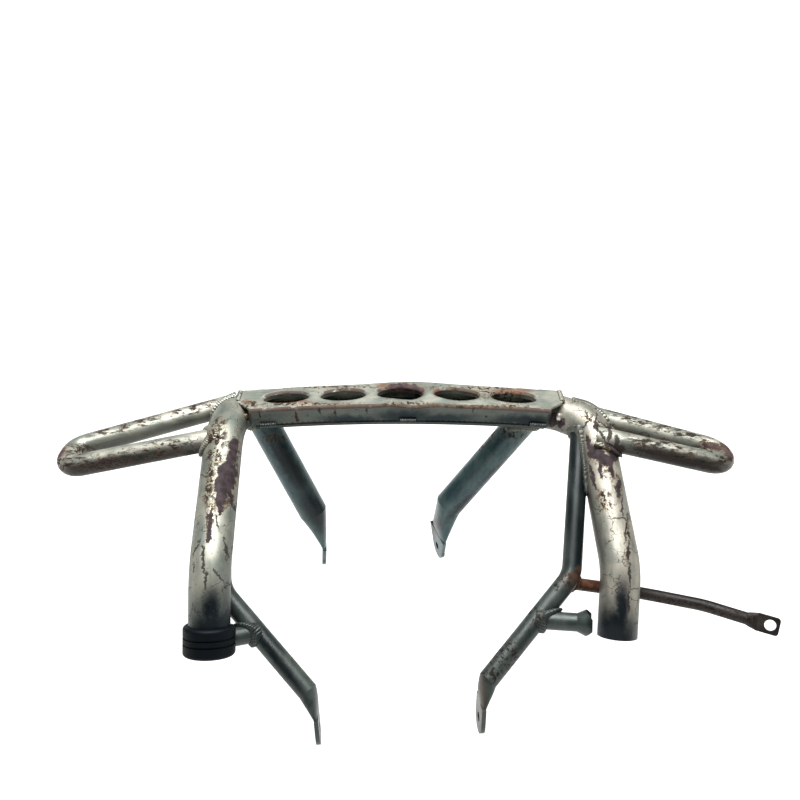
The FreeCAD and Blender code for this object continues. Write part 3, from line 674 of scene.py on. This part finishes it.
# tack welds where the channel meets the tubes: one near-white and glossy, its white a painted highlight, two burnt
# brown
glintTack = dict(
    paint="#c9c5b9", chalk="#dedacd", dull="#5d574c", metal=0.55, pitLevel=0.6, rough=(0.28, 0.4),
    lump=0.5, lumpMm=1.6)
brownTack = dict(glintTack, paint="#5f4f3e", chalk="#77664f", dull="#3a2f27", metal=0.2)
glintWeld = wornPaint("tackWeldWithPaintedGlint", glintTack)
brownWeld = wornPaint("burntTackWeld", brownTack)
tackBeads = {"tackBeadRight": {"spot": (152.8, 91.8, 214.8), "half": (3.0, 3.0, 4.2), "material": glintWeld},
             "tackBeadLeftHigh": {"spot": (-170.4, 84.6, 220.0), "half": (2.8, 2.4, 2.6), "material": brownWeld},
             "tackBeadLeftLow": {"spot": (-169.6, 87.4, 214.5), "half": (2.6, 2.6, 3.0), "material": brownWeld}}


def tackBead(name, spot, half, material):
    # a lumpy drop: an ellipsoid whose radius swells and shrinks by a tenth in slow waves of both angles
    turns, rows = 28, 14
    u, v = np.meshgrid(np.arange(turns) * 2 * np.pi / turns, np.linspace(0, np.pi, rows + 1)[1:-1])
    swell = 1 + 0.1 * np.sin(3 * u + 1) * np.sin(2 * v) + 0.07 * np.cos(5 * u) * np.sin(v) ** 2
    drop = np.stack([np.sin(v) * np.cos(u), np.sin(v) * np.sin(u), np.cos(v)], axis=-1) * swell[..., None]
    points = np.concatenate([drop.reshape(-1, 3), [(0, 0, 1), (0, 0, -1)]]) * half + spot
    here = np.arange(turns)
    after = (here + 1) % turns
    top, foot = len(points) - 2, len(points) - 1
    band = np.arange(rows - 2)[:, None] * turns
    quads = np.stack([band + here, band + turns + here, band + turns + after, band + after], axis=-1).reshape(-1, 4)
    last = (rows - 2) * turns
    caps = np.stack([np.full(turns, top), here, after], axis=-1).tolist()
    caps += np.stack([np.full(turns, foot), last + after, last + here], axis=-1).tolist()
    mesh = bpy.data.meshes.new(name)
    mesh.from_pydata((points / 1000).tolist(), [], quads.tolist() + caps)
    finishSkin(mesh, points, material)
    tack = addObject(name, mesh)
    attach(tack, "root")


for name, tack in tackBeads.items():
    tackBead(name, **tack)
print("tack beads set")

# a pale sheet of paper that runs past the picture and glows to white, in metres
paper = {"x": (-4, 4), "y": (-3, 6), "z": -0.0004, "base": "#82827f", "rough": 0.9, "glow": "#ffffff",
         "strength": 0.93}


def paperFloor():
    (left, right), (near, far) = paper["x"], paper["y"]
    u, v = np.meshgrid(np.linspace(left, right, 3), np.linspace(near, far, 3))
    points = np.stack([u, v, np.full_like(u, paper["z"])], axis=-1).reshape(-1, 3)
    faces = [(i, i + 1, i + 4, i + 3) for i in (0, 1, 3, 4)]
    mesh = bpy.data.meshes.new("floor")
    mesh.from_pydata(points.tolist(), [], faces)
    floor = addObject("floor", mesh)
    material, tree, shader = newMaterial("whiteFloorPaper")
    shader.inputs["Base Color"].default_value = hexColour(paper["base"])
    shader.inputs["Roughness"].default_value = paper["rough"]
    shader.inputs["Emission Color"].default_value = hexColour(paper["glow"])
    shader.inputs["Emission Strength"].default_value = paper["strength"]
    mesh.materials.append(material)


paperFloor()

# one broad lamp overhead, and a dim blue-grey room
lamp = {"place": (0.0, 0.12, 1.65), "aim": (0, 0.08, 0.1), "size": 1.3, "watts": 50}
light = bpy.data.lights.new("overhead", "AREA")
light.energy = lamp["watts"]
light.size = lamp["size"]
holder = addObject("overhead", light)
holder.location = lamp["place"]
way = np.array(lamp["aim"]) - np.array(lamp["place"])
holder.rotation_euler = (math.atan2(math.hypot(way[0], way[1]), -way[2]), 0, math.atan2(way[1], way[0]) - math.pi / 2)

room = {"colour": "#86989f", "strength": 0.16}
world = bpy.data.worlds.new("room")
world.use_nodes = True
world.node_tree.nodes["Background"].inputs[0].default_value = hexColour(room["colour"])
world.node_tree.nodes["Background"].inputs[1].default_value = room["strength"]
bpy.context.scene.world = world
print("floor and light set")
